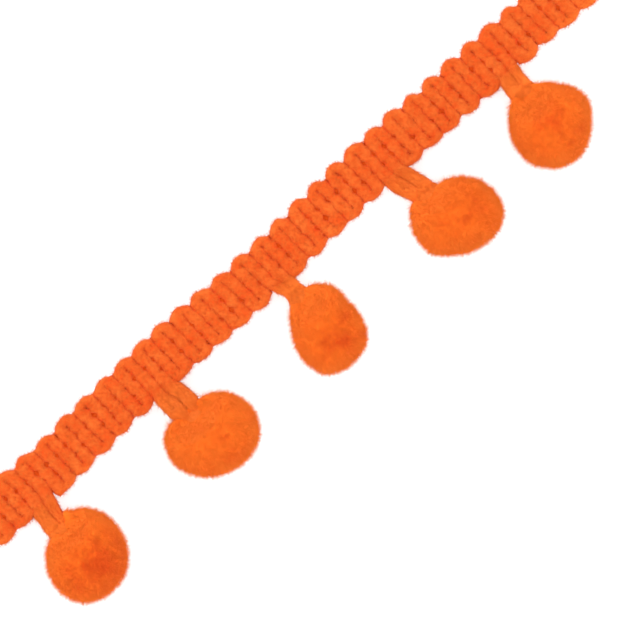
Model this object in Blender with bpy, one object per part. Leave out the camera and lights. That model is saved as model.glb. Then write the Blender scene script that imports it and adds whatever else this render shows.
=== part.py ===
"""Pompom fringe trim: a cut length of crochet-knitted heading with five pompoms, lying flat.

The heading runs along X and lies on Z = 0, with the pompoms towards -Y. Its thick yarn goes back and
forth across the band in bars, and turns in a small scallop at each edge. At every twelfth bar the yarn
leaves the lower edge as a pair, the hanger, and ends in a cut and brushed ball, the pompom.
The origin is the middle of the heading's underside. All tables are in millimetres.
"""

import math

import bmesh
import bpy
from mathutils import Vector

MM = 0.001
GAP = 0.3  # clearance between one piece and the next
WELD = 1e-6  # metres, closes the seam of a rolled-up grid

# Heading. Bars are counted from the left end; a slit is the line between two bars.
BAR_COUNT = 64
HEADING_ENDS_X = (-47.1, 47.05)
FIRST_HANGER_SLIT = 7
BARS_BETWEEN_HANGERS = 12
THICKNESS = 1.8
VALLEY_HALF_WIDTH = 2.6  # from the centre line to the notch between two scallops
SCALLOP = 0.5  # how far a scallop stands out of its notches
SLIT_DEPTH = 0.42
SLIT_SHARPNESS = 2.0
SAMPLES_PER_BAR = 4

# The gentle wander of the heading's centre line, as it lies.
WANDER_COLUMNS = ("x", "y")
WANDER = (
    (-47.1, 0.06),
    (-38.0, 0.04),
    (-33.5, -0.17),
    (-25.0, 0.09),
    (-14.0, 0.20),
    (-3.5, -0.24),
    (8.0, 0.10),
    (16.0, 0.22),
    (24.5, 0.03),
    (31.0, -0.19),
    (40.0, -0.20),
    (47.05, -0.42),
)

# One point of the heading's cross-section in each row, going round it: which edge the point is measured
# from, how far inside that edge it is, and its height as a share of the thickness.
SECTION_COLUMNS = ("edge", "inset", "height")
SECTION = (
    ("lower", 0.45, 0.00),
    ("upper", 0.45, 0.00),
    ("upper", 0.00, 0.42),
    ("upper", 0.12, 0.78),
    ("upper", 0.60, 1.00),
    ("upper", 1.50, 1.00),
    ("upper", 2.40, 1.00),
    ("lower", 2.40, 1.00),
    ("lower", 1.50, 1.00),
    ("lower", 0.60, 1.00),
    ("lower", 0.12, 0.78),
    ("lower", 0.00, 0.42),
)
TURN_INSET = 1.0  # a turn's yarn is whole this far inside its edge, so its slit starts further in

# Hangers: where the slit between the two yarns lies at the heading and at the pompom, the pair's width
# at each end, and the height of its middle where it meets the pompom's neck.
HANGER_COLUMNS = ("slit_x", "neck_x", "width", "neck_width", "neck_height")
HANGERS = (
    (-36.60, -37.40, 2.80, 2.50, 2.60),
    (-18.40, -18.10, 2.80, 3.60, 3.00),
    (-1.05, -0.45, 2.80, 2.40, 1.80),
    (16.60, 17.60, 2.80, 3.10, 3.00),
    (33.80, 33.30, 2.80, 3.00, 2.10),
)
HANGER_SECTIONS = 7
LOBE_POINTS = 8
LOBE_OPENING = math.radians(40.0)  # each lobe's arc stops this far from the slit
HANGER_HALF_HEIGHT = 0.72

# Pompoms: the middle of each ball, its height, and its radius seen from above in eight directions,
# 45 degrees apart. neck points at the hanger and tip away from it.
POMPOM_COLUMNS = ("x", "y", "height", "right", "right_neck", "neck", "left_neck", "left",
                  "left_tip", "tip", "right_tip")
POMPOMS = (
    (-37.04, -10.13, 9.2, 4.72, 5.36, 4.80, 4.95, 5.11, 5.36, 4.87, 4.61),
    (-17.81, -9.51, 9.4, 5.28, 4.78, 4.00, 5.31, 5.36, 4.89, 4.87, 5.42),
    (-0.33, -10.12, 8.2, 3.76, 5.13, 6.00, 4.42, 4.50, 4.94, 4.42, 4.11),
    (18.56, -10.53, 8.9, 5.02, 4.60, 4.65, 5.33, 5.11, 4.28, 4.31, 5.20),
    (33.23, -10.08, 8.9, 5.00, 4.69, 5.60, 4.83, 4.91, 4.91, 4.87, 4.50),
)
RADIUS_COLUMNS = POMPOM_COLUMNS[3:]
CENTRE_SHARE = 0.49  # of the height; the ball reaches a little under the surface and is flat there
POMPOM_AROUND = 20
POMPOM_RINGS = 12
NECK_SEARCH_STEPS = 180  # directions tried for the ball's furthest reach towards the heading

# The yarn's looks
HEADING_COLOUR = (0.90, 0.13, 0.022, 1.0)
POMPOM_COLOUR = (0.95, 0.16, 0.018, 1.0)
YARN_ROUGHNESS = 0.9
CREASE_ANGLE = math.radians(50.0)  # edges sharper than this stay sharp


def rows(columns, table):
    """A table as a list of dictionaries, one for each row."""
    return [dict(zip(columns, row)) for row in table]


def catmull_rom(before, start, end, after, t):
    """The smooth curve from start to end, at t from 0 to 1."""
    slope_in = (end - before) / 2.0
    slope_out = (after - start) / 2.0
    bend = 3.0 * (end - start) - 2.0 * slope_in - slope_out
    twist = 2.0 * (start - end) + slope_in + slope_out
    return start + slope_in * t + bend * t ** 2 + twist * t ** 3


def smoothstep(t):
    t = min(max(t, 0.0), 1.0)
    return t * t * (3.0 - 2.0 * t)


def hanger_slits():
    return [FIRST_HANGER_SLIT + k * BARS_BETWEEN_HANGERS for k in range(len(HANGERS))]


def bar_x(slit):
    """Where a slit lies along the band; between two slits it is a place on the bar."""
    counts = [0] + hanger_slits() + [BAR_COUNT]
    places = [HEADING_ENDS_X[0]] + [row["slit_x"] for row in rows(HANGER_COLUMNS, HANGERS)]
    places.append(HEADING_ENDS_X[1])
    for k in range(len(counts) - 1):
        if slit <= counts[k + 1]:
            share = (slit - counts[k]) / (counts[k + 1] - counts[k])
            return places[k] + share * (places[k + 1] - places[k])
    return places[-1]


def centre_y(x):
    """The centre line's place across the band."""
    table = rows(WANDER_COLUMNS, WANDER)
    last = len(table) - 1
    k = 0
    while k < last - 1 and x > table[k + 1]["x"]:
        k += 1
    start, end = table[k], table[k + 1]
    before, after = table[max(k - 1, 0)], table[min(k + 2, last)]
    t = (x - start["x"]) / (end["x"] - start["x"])
    return catmull_rom(before["y"], start["y"], end["y"], after["y"], t)


def at_hanger(slit):
    return any(abs(slit - middle) < 1.0 for middle in hanger_slits())


def turn_share(edge, slit):
    """1 in the middle of a turn at this edge, 0 at the notch between two turns."""
    if edge == "upper":
        return abs(math.cos(math.pi * slit / 2.0))
    return 0.0 if at_hanger(slit) else abs(math.sin(math.pi * slit / 2.0))


def edge_y(edge, slit):
    half_width = VALLEY_HALF_WIDTH + SCALLOP * turn_share(edge, slit)
    side = 1.0 if edge == "upper" else -1.0
    return centre_y(bar_x(slit)) + side * half_width


def heading_reach(slit):
    """The lowest that the heading's edge comes beside the two bars at a hanger."""
    return min(edge_y("lower", slit + step) for step in (-1.0, 0.0, 1.0))


def slit_drop(edge, inset, slit):
    """How far the top lies below the full thickness: a groove at each slit, closed inside a turn."""
    groove = (1.0 - abs(math.sin(math.pi * slit))) ** SLIT_SHARPNESS
    closed = turn_share(edge, slit) if inset < TURN_INSET else 0.0
    return SLIT_DEPTH * groove * (1.0 - closed)


def heading_point(section, number):
    """Point number of the cross-section at a section, in metres."""
    slit = section / SAMPLES_PER_BAR
    row = dict(zip(SECTION_COLUMNS, SECTION[number]))
    inwards = -1.0 if row["edge"] == "upper" else 1.0
    y = edge_y(row["edge"], slit) + inwards * row["inset"]
    z = THICKNESS * row["height"]
    if row["height"] == 1.0:
        z -= slit_drop(row["edge"], row["inset"], slit)
    return Vector((bar_x(slit), y, z)) * MM


def plan_radius(pompom, angle):
    """The ball's radius seen from above; angle 0 points right and a quarter turn at the hanger."""
    count = len(RADIUS_COLUMNS)
    place = (angle / math.tau) % 1.0 * count
    k = int(place)
    values = [pompom[RADIUS_COLUMNS[(k + step) % count]] for step in (-1, 0, 1, 2)]
    return catmull_rom(*values, place - k)


def neck_y(pompom):
    """How far the ball reaches towards the heading."""
    angles = [math.pi * k / NECK_SEARCH_STEPS for k in range(NECK_SEARCH_STEPS + 1)]
    return pompom["y"] + max(plan_radius(pompom, angle) * math.sin(angle) for angle in angles)


def pompom_point(pompom, neck_height, direction):
    """Where a point of a unit ball lies on the pompom, in metres."""
    level = math.hypot(direction.x, direction.y)
    angle = math.atan2(direction.y, direction.x)
    reach = plan_radius(pompom, angle) * level
    x = pompom["x"] + reach * math.cos(angle)
    y = pompom["y"] + reach * math.sin(angle)
    middle = pompom["height"] * CENTRE_SHARE
    z = middle + (pompom["height"] - middle) * direction.z
    towards_neck = (y - pompom["y"]) / (neck_y(pompom) - pompom["y"])
    z -= (middle - neck_height) * max(towards_neck, 0.0) ** 2
    return Vector((x, y, max(z, 0.0))) * MM


def hanger_point(hanger, pompom, section, number):
    """Point number of the two-lobed outline at a section, in metres."""
    t = section / (HANGER_SECTIONS - 1)
    ease = smoothstep(t)
    start_y = heading_reach(hanger["slit"]) - GAP
    end_y = neck_y(pompom) + GAP
    lobe = (hanger["width"] + t * (hanger["neck_width"] - hanger["width"])) / 4.0
    side = -1.0 if number < LOBE_POINTS else 1.0
    step = number % LOBE_POINTS
    turn = LOBE_OPENING + step * (math.tau - 2.0 * LOBE_OPENING) / (LOBE_POINTS - 1)
    angle = turn if side < 0.0 else turn + math.pi
    x = hanger["slit_x"] + ease * (hanger["neck_x"] - hanger["slit_x"])
    x += side * lobe + lobe * math.cos(angle)
    y = start_y + t * (end_y - start_y)
    z = THICKNESS / 2.0 + ease * (hanger["neck_height"] - THICKNESS / 2.0)
    z += HANGER_HALF_HEIGHT * math.sin(angle)
    return Vector((x, y, z)) * MM


def rolled_tube(section_count, ring_count, place):
    """A flat grid rolled into a closed tube; place(section, number) gives each point."""
    bm = bmesh.new()
    bmesh.ops.create_grid(bm, x_segments=section_count - 1, y_segments=ring_count, size=1.0)
    for vert in bm.verts:
        section = round((vert.co.x + 1.0) / 2.0 * (section_count - 1))
        number = round((vert.co.y + 1.0) / 2.0 * ring_count) % ring_count
        vert.co = place(section, number)
    bmesh.ops.remove_doubles(bm, verts=bm.verts, dist=WELD)
    rims = [edge for edge in bm.edges if edge.is_boundary]
    bmesh.ops.holes_fill(bm, edges=rims, sides=0)
    bmesh.ops.recalc_face_normals(bm, faces=bm.faces)
    return bm


def ball(place):
    """A unit ball whose points place(direction) moves."""
    bm = bmesh.new()
    bmesh.ops.create_uvsphere(bm, u_segments=POMPOM_AROUND, v_segments=POMPOM_RINGS, radius=1.0)
    for vert in bm.verts:
        vert.co = place(vert.co.copy())
    bmesh.ops.recalc_face_normals(bm, faces=bm.faces)
    return bm


def yarn_material(name, colour):
    material = bpy.data.materials.new(name)
    material.use_nodes = True
    shader = material.node_tree.nodes["Principled BSDF"]
    shader.inputs["Base Color"].default_value = colour
    shader.inputs["Roughness"].default_value = YARN_ROUGHNESS
    shader.inputs["Metallic"].default_value = 0.0
    return material


def add_object(name, bm, material, parent):
    mesh = bpy.data.meshes.new(name)
    bm.to_mesh(mesh)
    bm.free()
    mesh.materials.append(material)
    mesh.shade_smooth()
    mesh.set_sharp_from_angle(angle=CREASE_ANGLE)
    piece = bpy.data.objects.new(name, mesh)
    piece.parent = parent
    bpy.context.scene.collection.objects.link(piece)
    return piece


def build_trim():
    for old in list(bpy.data.objects):
        bpy.data.objects.remove(old, do_unlink=True)
    trim = bpy.data.objects.new("trim", None)
    bpy.context.scene.collection.objects.link(trim)

    sections = BAR_COUNT * SAMPLES_PER_BAR + 1
    heading = rolled_tube(sections, len(SECTION), heading_point)
    add_object("heading", heading, yarn_material("heading yarn", HEADING_COLOUR), trim)

    pairs = zip(rows(HANGER_COLUMNS, HANGERS), rows(POMPOM_COLUMNS, POMPOMS), hanger_slits())
    for number, (hanger, pompom, slit) in enumerate(pairs, 1):
        hanger["slit"] = slit
        pair = rolled_tube(
            HANGER_SECTIONS, 2 * LOBE_POINTS, lambda i, j: hanger_point(hanger, pompom, i, j)
        )
        material = yarn_material(f"hanger yarn {number}", HEADING_COLOUR)
        add_object(f"hanger_{number}", pair, material, trim)
        round_form = ball(lambda d: pompom_point(pompom, hanger["neck_height"], d))
        material = yarn_material(f"pompom pile {number}", POMPOM_COLOUR)
        add_object(f"pompom_{number}", round_form, material, trim)


build_trim()
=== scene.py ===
import math
import random

import bmesh
import bpy
import numpy as np
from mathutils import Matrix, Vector, noise


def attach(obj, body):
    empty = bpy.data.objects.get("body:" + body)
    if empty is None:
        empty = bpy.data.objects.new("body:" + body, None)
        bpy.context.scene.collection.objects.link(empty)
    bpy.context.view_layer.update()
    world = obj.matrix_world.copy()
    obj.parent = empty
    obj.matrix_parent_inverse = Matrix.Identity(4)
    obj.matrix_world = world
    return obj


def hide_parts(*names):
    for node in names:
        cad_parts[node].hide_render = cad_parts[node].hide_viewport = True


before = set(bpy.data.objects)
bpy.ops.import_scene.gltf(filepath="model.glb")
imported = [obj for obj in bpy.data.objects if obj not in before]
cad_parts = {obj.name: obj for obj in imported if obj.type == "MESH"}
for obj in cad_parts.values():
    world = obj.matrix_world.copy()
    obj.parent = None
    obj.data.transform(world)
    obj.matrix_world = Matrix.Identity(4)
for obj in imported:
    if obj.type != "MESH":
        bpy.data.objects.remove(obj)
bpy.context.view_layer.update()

# The trim runs along X with its pompoms towards -Y and lies on Z = 0. Tables are in millimetres.
MM = 0.001
SEED = 11
BODY = "root"
PLAIN_UP = Vector((0.0, 0.0, 1.0))

# --------------------------------------
# Heading: one thick yarn laid back and forth in bars, counted from the left end. A slit is the line
# between two bars; the turn over an even slit is at the upper edge, and over an odd one at the lower.

BAR_COUNT = 64
HANGER_SLITS = (7, 19, 31, 43, 55)
HANGER_SLITS_X = (-36.60, -18.40, -1.05, 16.60, 33.80)
RUN_ENDS = (0, *HANGER_SLITS, BAR_COUNT)
RUN_ENDS_X = (-47.1, *HANGER_SLITS_X, 47.05)
WANDER_X = (-47.1, -38.0, -33.5, -25.0, -14.0, -3.5, 8.0, 16.0, 24.5, 31.0, 40.0, 47.05)
WANDER_Y = (0.06, 0.04, -0.17, 0.09, 0.20, -0.24, 0.10, 0.22, 0.03, -0.19, -0.20, -0.42)

BED_HEIGHT = 0.90  # the middle of the yarn above the surface
BAR_HALF_HEIGHT = 0.84
TURN_HALF_HEIGHT = 0.78
SLIT_END = 1.98  # from the centre line to where a slit runs into a turn
SHOULDERS = {1.0: 2.52, -1.0: 2.72}  # to where neighbouring turns part, at the upper and lower edge
CREST = 3.10  # to the outermost of a turn
END_TRIM = 0.1  # the cut ends stop this far short of it
STATION_STEP = 0.08
TURN_START = 1.70
TURN_STATIONS = 26
TURN_LEAD = 0.2  # the share of them, at each end, in which a turn leaves its bar
TURN_WIDTH = 0.80  # the share of its width over which a turn stands out
TURN_ROUNDNESS = 0.75  # 0.5 rounds it like a circle, more peaks it
TURN_INNER_START = 0.05  # its inner edge starts this far before the slit's end
TURN_INNER_RISE = 0.08  # and rises this far round it
OVERLAP = 0.25  # how far bars press into each other between the chains
OVERLAP_CHANGE = 0.6  # a share of it that comes and goes along a slit
OVERLAP_LENGTH = 0.45
NOTCH_SHARE = 0.6  # of the overlap that is gone where two turns part
SLIT_SLANT = -0.035  # sideways for each millimetre across the band
SLIT_WAVE = 0.20
SLIT_WAVE_LENGTH = 0.55
SLIT_RIPPLE = 0.5  # a finer wave, as a share of the other
SLIT_RIPPLE_LENGTH = 0.22
YARN_BOXINESS = 0.88
YARN_RING = 14
YARN_STEP = 0.17
YARN_LUMPS = ((1.3, 0.09), (0.4, 0.04))  # how long and how deep
PLY_PITCH = 1.35  # in which its two plies turn round each other once
PLY_DEPTH = 0.035
HANGER_PLY_DEPTH = 0.015
SWELL_SIDEWAYS = 0.3  # how much of a swelling widens the yarn; all of it thickens it

# How much one bar, slit or turn differs from the next by chance: the least and the most.
SLIT_SHIFTS = (-0.05, 0.05)
SLIT_SLANTS = (-0.03, 0.03)
PINCH_SHARES = (0.25, 1.25)
PINCH_SHIFTS = (-0.12, 0.12)
CREST_PUSHES = (-0.08, 0.08)
SHOULDER_PUSHES = (-0.20, 0.12)
BAR_SWELLS = (-0.05, 0.05)

CHAIN_ROWS = (1.95, 0.58, -0.82, -1.98)  # the lengthwise holding chains, from the centre line
CHAIN_PINCH = (0.18, 0.35, 0.37, 0.18)  # how far they draw each side of a bar in
CHAIN_REACH = 0.43
CHAIN_DIP = 0.05  # and how far they press its face down
CHAIN_THREAD = 0.065
CHAIN_RING = 4
CHAIN_SWAY = 0.10
CHAIN_HEIGHT = 0.30  # above and below the bars' middle, where its threads cross in a slit
CHAIN_ARCH = 0.16  # and this much further over a bar
MIDDLE_REACH = 2.35  # the chains' inner band, from the centre line
MIDDLE_HALF_HEIGHT = 0.40

# Hangers: down each pair of yarns, the left edge, the slit between the two, the right edge and the
# middle's height. The pair goes on into the pompom.
HANGER_FORK = -1.2  # from the centre line, where the pair leaves the bars' course
HANGER_LEAD = 0.8  # it starts to turn this far before
HANGER_EASE = 1.6  # and takes this long to reach its own overlap
HANGER_OVERLAP = 0.10
HANGER_OVERLAP_FILLED = 0.30  # and this much more where pile hides the slit
HANGER_TOP = 2.45  # to where a hanger's own yarns take over from the bars
HANGER_LAP = 0.40  # each goes on inside the other for this long
LAP_THINNING = 0.25  # thinning by this share
LAP_LEAD = 0.1  # a bar starts to thin this share of the lap before it
HANGER_SLIMMING = 0.10  # how much flatter than the bars its yarns are
HANGER_STATIONS = 40
HANGER_COLUMNS = ("y", "left", "slit", "right", "z")
HANGERS = (
    ((-3.0, -38.60, -36.88, -35.45, 1.10), (-4.1, -38.68, -36.98, -35.75, 1.90),
     (-5.2, -38.80, -36.85, -36.00, 2.70), (-6.3, -38.70, -36.85, -36.10, 2.60)),
    ((-3.0, -20.05, -18.35, -16.53, 1.10), (-4.1, -20.03, -17.95, -16.31, 1.95),
     (-5.3, -19.95, -17.88, -16.18, 3.10), (-6.9, -19.60, -17.85, -16.30, 3.30)),
    ((-2.3, -2.20, -0.78, 0.68, 0.95), (-3.1, -1.85, -0.55, 0.74, 1.20),
     (-3.9, -1.52, -0.40, 0.76, 1.70), (-5.2, -1.60, -0.30, 1.00, 1.70)),
    ((-2.5, 15.12, 16.82, 18.37, 1.00), (-3.9, 15.35, 17.28, 18.73, 1.75),
     (-5.3, 15.87, 17.56, 19.10, 2.90), (-6.6, 16.20, 17.80, 19.30, 2.90)),
    ((-2.5, 32.25, 33.80, 35.15, 1.00), (-3.7, 32.00, 33.75, 34.85, 1.50),
     (-4.8, 31.80, 33.62, 34.85, 2.20), (-6.0, 31.70, 33.50, 34.90, 2.10)),
)
HANGER_SLITS_FILLED = (0.15, 0.0, 1.0, 0.35, 0.6)  # how much pile hides the slit
# How much lighter or deeper each pair's left and right yarn is; on the first pair's right yarn it is
# painted shade.
HANGER_TONES_AND_SHADE = ((0.03, -0.30), (0.0, 0.0), (0.05, 0.0), (-0.15, -0.12), (0.0, -0.12))  # left, right yarn
HANGER_CORNERS = (0.45, 0.40, 0.30, 0.15, 0.0)  # how far the turn on its right fills its corner

# Pompoms: the middle of each ball, then its neck: the level where its pair of yarns starts to be
# brushed into one, the level where the ball rises from it, how steeply, and how wide to each side.
POMPOM_COLUMNS = ("x", "y", "brushed_y", "neck_y", "neck_rise", "neck_width")
POMPOMS = (
    (-37.04, -10.13, -4.4, -5.3, 3.0, 2.8),
    (-17.81, -9.51, -5.5, -6.1, 3.2, 3.0),
    (-0.33, -10.12, -2.5, -4.5, 2.6, 3.0),
    (18.56, -10.53, -4.4, -5.7, 3.2, 2.8),
    (33.23, -10.08, -3.4, -5.0, 2.5, 2.8),
)

# Where a pompom's cut ends part, from its middle, and its pile lies deeper, with broader patches such as
# the first ball's lower side, away from the light;
# their shade dents the core and is painted into the colour. The first of each pompom is its crown, where
# the pile flows to.
PARTING_COLUMNS = ("x", "y", "wide", "tall", "shade")
PARTINGS = (
    ((1.1, -2.3, 1.3, 1.1, 0.12), (0.2, -1.8, 3.7, 3.5, 0.29), (1.9, -0.5, 1.2, 1.2, 0.05),
     (-0.7, -0.8, 0.5, 0.3, 0.14), (-2.8, -1.2, 0.9, 1.3, 0.09)),
    ((1.1, -1.4, 0.7, 0.6, 0.16), (0.0, -3.4, 1.8, 0.9, 0.14), (-0.3, 1.1, 0.2, 0.3, 0.24),
     (-2.3, 1.6, 0.3, 0.3, 0.08)),
    ((0.5, -2.0, 1.1, 0.7, 0.16), (0.2, -1.3, 2.6, 1.8, 0.22), (-2.0, -0.4, 0.8, 0.3, 0.16),
     (2.2, 0.0, 0.9, 0.4, 0.18), (2.6, -3.0, 0.7, 0.6, 0.20)),
    ((0.4, -0.9, 0.7, 0.4, 0.16), (2.8, -0.8, 1.4, 2.2, 0.06), (0.6, -0.4, 3.0, 2.4, 0.10)),
    ((0.0, -0.7, 0.6, 1.2, 0.20), (0.3, 0.6, 2.6, 2.6, 0.06), (1.3, 0.8, 1.2, 1.0, 0.12),
     (-0.8, 0.9, 1.0, 0.8, 0.14), (0.0, -3.2, 0.9, 0.4, 0.16), (1.8, -2.6, 0.8, 0.5, 0.18)),
)

# Where a pompom's outline stands out, or lies back, in plan: the direction from +X in degrees, how many
# degrees wide, and how far.
BULGE_COLUMNS = ("direction", "width", "out")
BULGES = (
    ((76.0, 7.5, 0.90), (58.0, 12.0, 0.35), (150.0, 30.0, -0.15)),
    ((-30.0, 40.0, 0.15),),
    ((20.0, 16.0, -0.30), (218.0, 14.0, 0.18), (-62.0, 12.0, 0.18)),
    ((120.0, 13.0, 0.45), (195.0, 14.0, 0.20)),
    ((205.0, 25.0, 0.12), (240.0, 14.0, 0.18), (-55.0, 20.0, -0.12)),
)
BULGE_REACH = 4.5  # from a pompom's middle to where a bulge has its full size
PILE_INSET = 0.25  # the core lies this far inside the pompom's outer form
CROWN_HEIGHT = 8.4
CROWN_PULL = 0.5  # how much pile is combed to the crown, where away from the neck is 1
PILE_LEAN = 0.5
CROWN_SIZE = 1.4  # fibres stand up within this distance of it
CORE_LUMPS = ((2.2, 0.14), (0.9, 0.05))  # how wide and how deep
CORE_MOTTLE = (1.8, 0.22)
BALLS_APART = 31.0  # in the noise, so that no two have the same lumps
CORE_TONE = 0.56
PARTING_LUMPS = (0.8, 0.14)
# Painted shade: partings are made deeper in colour, as the pile there is in shade.
PARTING_PAINTED_SHADE = 1.35  # how much deeper in colour a parting is for each unit of its shade
PARTING_DEPTH = 0.2  # how much lower
PARTING_EVENNESS = 1.8  # and how much less mottled
EVENNESS_LIMIT = 0.8
PARTING_HEIGHTS = (2.0, 4.5)  # they show from none to all between these heights
NECK_COVER = 0.75  # a ball's upper side starts this far above its yarns' middle
NECK_FILLET = 2.2  # and first runs along them for about this long
NECK_SOFTNESS = 0.55
NECK_SOFT_LIMIT = 40.0  # past this many times it, softness makes no difference
NECK_FOOT = 2.0  # in which a change grows from none at the ball's foot to all of it
NECK_SIDES = 1.2  # how much higher it may stand beside the yarns
# Painted light: near a neck the pile's colour is made lighter, against the shade of the crease where the
# ball rises from its yarns.
NECK_NEAR = 4.5  # from a neck, fibres lie flatter and lighter this far
NECK_PAINTED_LIGHT = 0.12
NECK_LEAN = 1.2
NECK_AHEAD = 0.8  # pile is combed from this far above the pair's third row
BRUSHED_LENGTH = 1.6  # in which a pair's slit fills
BRUSHED_COVER = 0.8  # how much of the yarns' own fuzz gives way to it
NECK_STATIONS = 30
NECK_DEPTH = 2.4  # how far the brushed pair goes on inside the ball
NECK_FOLLOW = 0.55  # how much of the ball's rise it follows there
NECK_WIDTH = 0.80  # the share of the pair's width that is brushed at first
NECK_WIDENING = 0.16  # and how much more once the slit is full
NECK_FLARE = 0.22  # and for each millimetre inside the ball
NECK_HEIGHT = 0.35  # its thickness there, as a share of a bar's
NECK_THICKENING = 0.62

# Where the yarns' fuzz gives way to the ball's pile at a neck: each change's start below the neck's
# level, and its length.
YARN_FUZZ_ENDS = (-0.1, 0.6)
BRUSHED_FUZZ_ENDS = (0.2, 0.9)
PILE_STARTS = (-0.1, 0.9)
PAIR_HALF_WIDTH = 0.9  # beside the pair, and below it, pile starts this far from its middle
PAIR_EDGE = 0.6  # and is whole this much further


def rows(columns, table):
    """A table as a list of dictionaries, one for each row."""
    return [dict(zip(columns, row)) for row in table]


hangers = [rows(HANGER_COLUMNS, table) for table in HANGERS]
pompoms = rows(POMPOM_COLUMNS, POMPOMS)
partings = [rows(PARTING_COLUMNS, table) for table in PARTINGS]
bulges = [rows(BULGE_COLUMNS, table) for table in BULGES]


def smoothstep(t):
    t = min(max(t, 0.0), 1.0)
    return t * t * (3.0 - 2.0 * t)


def bar_x(slit):
    """Where a slit lies along the band; between two slits it is a place on the bar."""
    return float(np.interp(slit, RUN_ENDS, RUN_ENDS_X))


def through(places, values, place):
    """A smooth curve through a table's values, read at one place."""
    k = min(max(int(np.searchsorted(places, place)) - 1, 0), len(places) - 2)
    before, after = max(k - 1, 0), min(k + 2, len(places) - 1)
    gap = places[k + 1] - places[k]
    t = min(max((place - places[k]) / gap, 0.0), 1.0)
    slope_in = gap * (values[k + 1] - values[before]) / (places[k + 1] - places[before])
    slope_out = gap * (values[after] - values[k]) / (places[after] - places[k])
    start, end = values[k], values[k + 1]
    bend = 3.0 * (end - start) - 2.0 * slope_in - slope_out
    twist = 2.0 * (start - end) + slope_in + slope_out
    return start + slope_in * t + bend * t ** 2 + twist * t ** 3


def centre_y(x):
    return through(WANDER_X, WANDER_Y, x)


# --------------------------------------
# The yarn's route. A station is the yarn's left and right edge in plan, seen along its run, then the
# height of its middle, half its thickness, how far its sides show and how much of its fuzz it keeps.

chance = random.Random(SEED)


def draws(spread):
    """A number by chance for each slit or bar."""
    return [chance.uniform(*spread) for _ in range(BAR_COUNT + 1)]


def row_draws(spread):
    """A number by chance for each slit and chain."""
    return [[chance.uniform(*spread) for _ in CHAIN_ROWS] for _ in range(BAR_COUNT + 1)]


slit_shift = draws(SLIT_SHIFTS)
slit_slant = [SLIT_SLANT + change for change in draws(SLIT_SLANTS)]
pinch_share = row_draws(PINCH_SHARES)
pinch_shift = row_draws(PINCH_SHIFTS)
crest_push = draws(CREST_PUSHES)
shoulder_push = draws(SHOULDER_PUSHES)
bar_swell = draws(BAR_SWELLS)

# Noise along a slit: how far apart neighbouring slits are in it, and the layer of each kind.
SLIT_NOISES = {"wave": (7.3, 0.0), "ripple": (5.7, 3.0), "overlap": (3.1, 5.0)}


def slit_noise(slit, along, kind):
    apart, layer = SLIT_NOISES[kind]
    return noise.noise((apart * slit, along, layer))


def slit_x(slit, across):
    """Where a slit lies along the band, this far from the centre line."""
    drift = slit_shift[slit] + slit_slant[slit] * across
    wave = slit_noise(slit, across / SLIT_WAVE_LENGTH, "wave")
    wave += SLIT_RIPPLE * slit_noise(slit, across / SLIT_RIPPLE_LENGTH, "ripple")
    return bar_x(slit) + drift + SLIT_WAVE * wave


def drawn_in(slit, across):
    """How far the holding chains draw a bar's side back from a slit; less than nothing is overlap."""
    gap = -OVERLAP * (1.0 + OVERLAP_CHANGE * slit_noise(slit, across / OVERLAP_LENGTH, "overlap"))
    for row, pull, share, shift in zip(CHAIN_ROWS, CHAIN_PINCH, pinch_share[slit], pinch_shift[slit]):
        gap += share * pull * math.exp(-((across - row - shift) / CHAIN_REACH) ** 2)
    return gap


def chain_dip(across):
    return sum(CHAIN_DIP * math.exp(-((across - row) / CHAIN_REACH) ** 2) for row in CHAIN_ROWS)


def edge_point(slit, across, towards):
    """A point of a bar's side at a slit; towards is the side the bar lies on, +1 for the right."""
    x = slit_x(slit, across)
    return x + towards * drawn_in(slit, across), centre_y(x) + across


def station(west, east, going_down, z, half_height, shown, bare=0.0):
    """A station whose edges are given by compass, and the share of its fuzz that is gone."""
    left, right = (east, west) if going_down else (west, east)
    return (*left, *right, z, half_height, shown, 1.0 - bare)


def narrowed(west, east, share):
    """Both edges drawn towards the middle between them."""
    x, y = (west[0] + east[0]) / 2.0, (west[1] + east[1]) / 2.0
    return tuple((x + share * (edge[0] - x), y + share * (edge[1] - y)) for edge in (west, east))


def bar_stations(bar, start, end):
    """Along one bar, from one distance across the band to another."""
    count = max(2, int(abs(end - start) / STATION_STEP))
    shown = 1.0 if bar in (0, BAR_COUNT - 1) else 0.0
    stations = []
    for k in range(count + 1):
        across = start + (end - start) * k / count
        west, east = edge_point(bar, across, 1.0), edge_point(bar + 1, across, -1.0)
        thin = 1.0
        if bar in hanger_of_bar:
            thin -= LAP_THINNING * max(0.0, (-across - HANGER_TOP) / HANGER_LAP + LAP_LEAD)
            if across < HANGER_FORK:
                west, east = hanger_edges(bar, west[1])
        west, east = narrowed(west, east, thin)
        half_height = BAR_HALF_HEIGHT * thin * (1.0 + bar_swell[bar] - chain_dip(across))
        stations.append(station(west, east, end < start, BED_HEIGHT, half_height, shown))
    return stations


def turn_shoulder(near_slit, side):
    """How far from the centre line a turn parts from its neighbour over the slit between them."""
    if side < 0.0 and near_slit - 1 in HANGER_SLITS:
        return SHOULDERS[side] + HANGER_CORNERS[HANGER_SLITS.index(near_slit - 1)]
    return SHOULDERS[side] + shoulder_push[near_slit]


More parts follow.
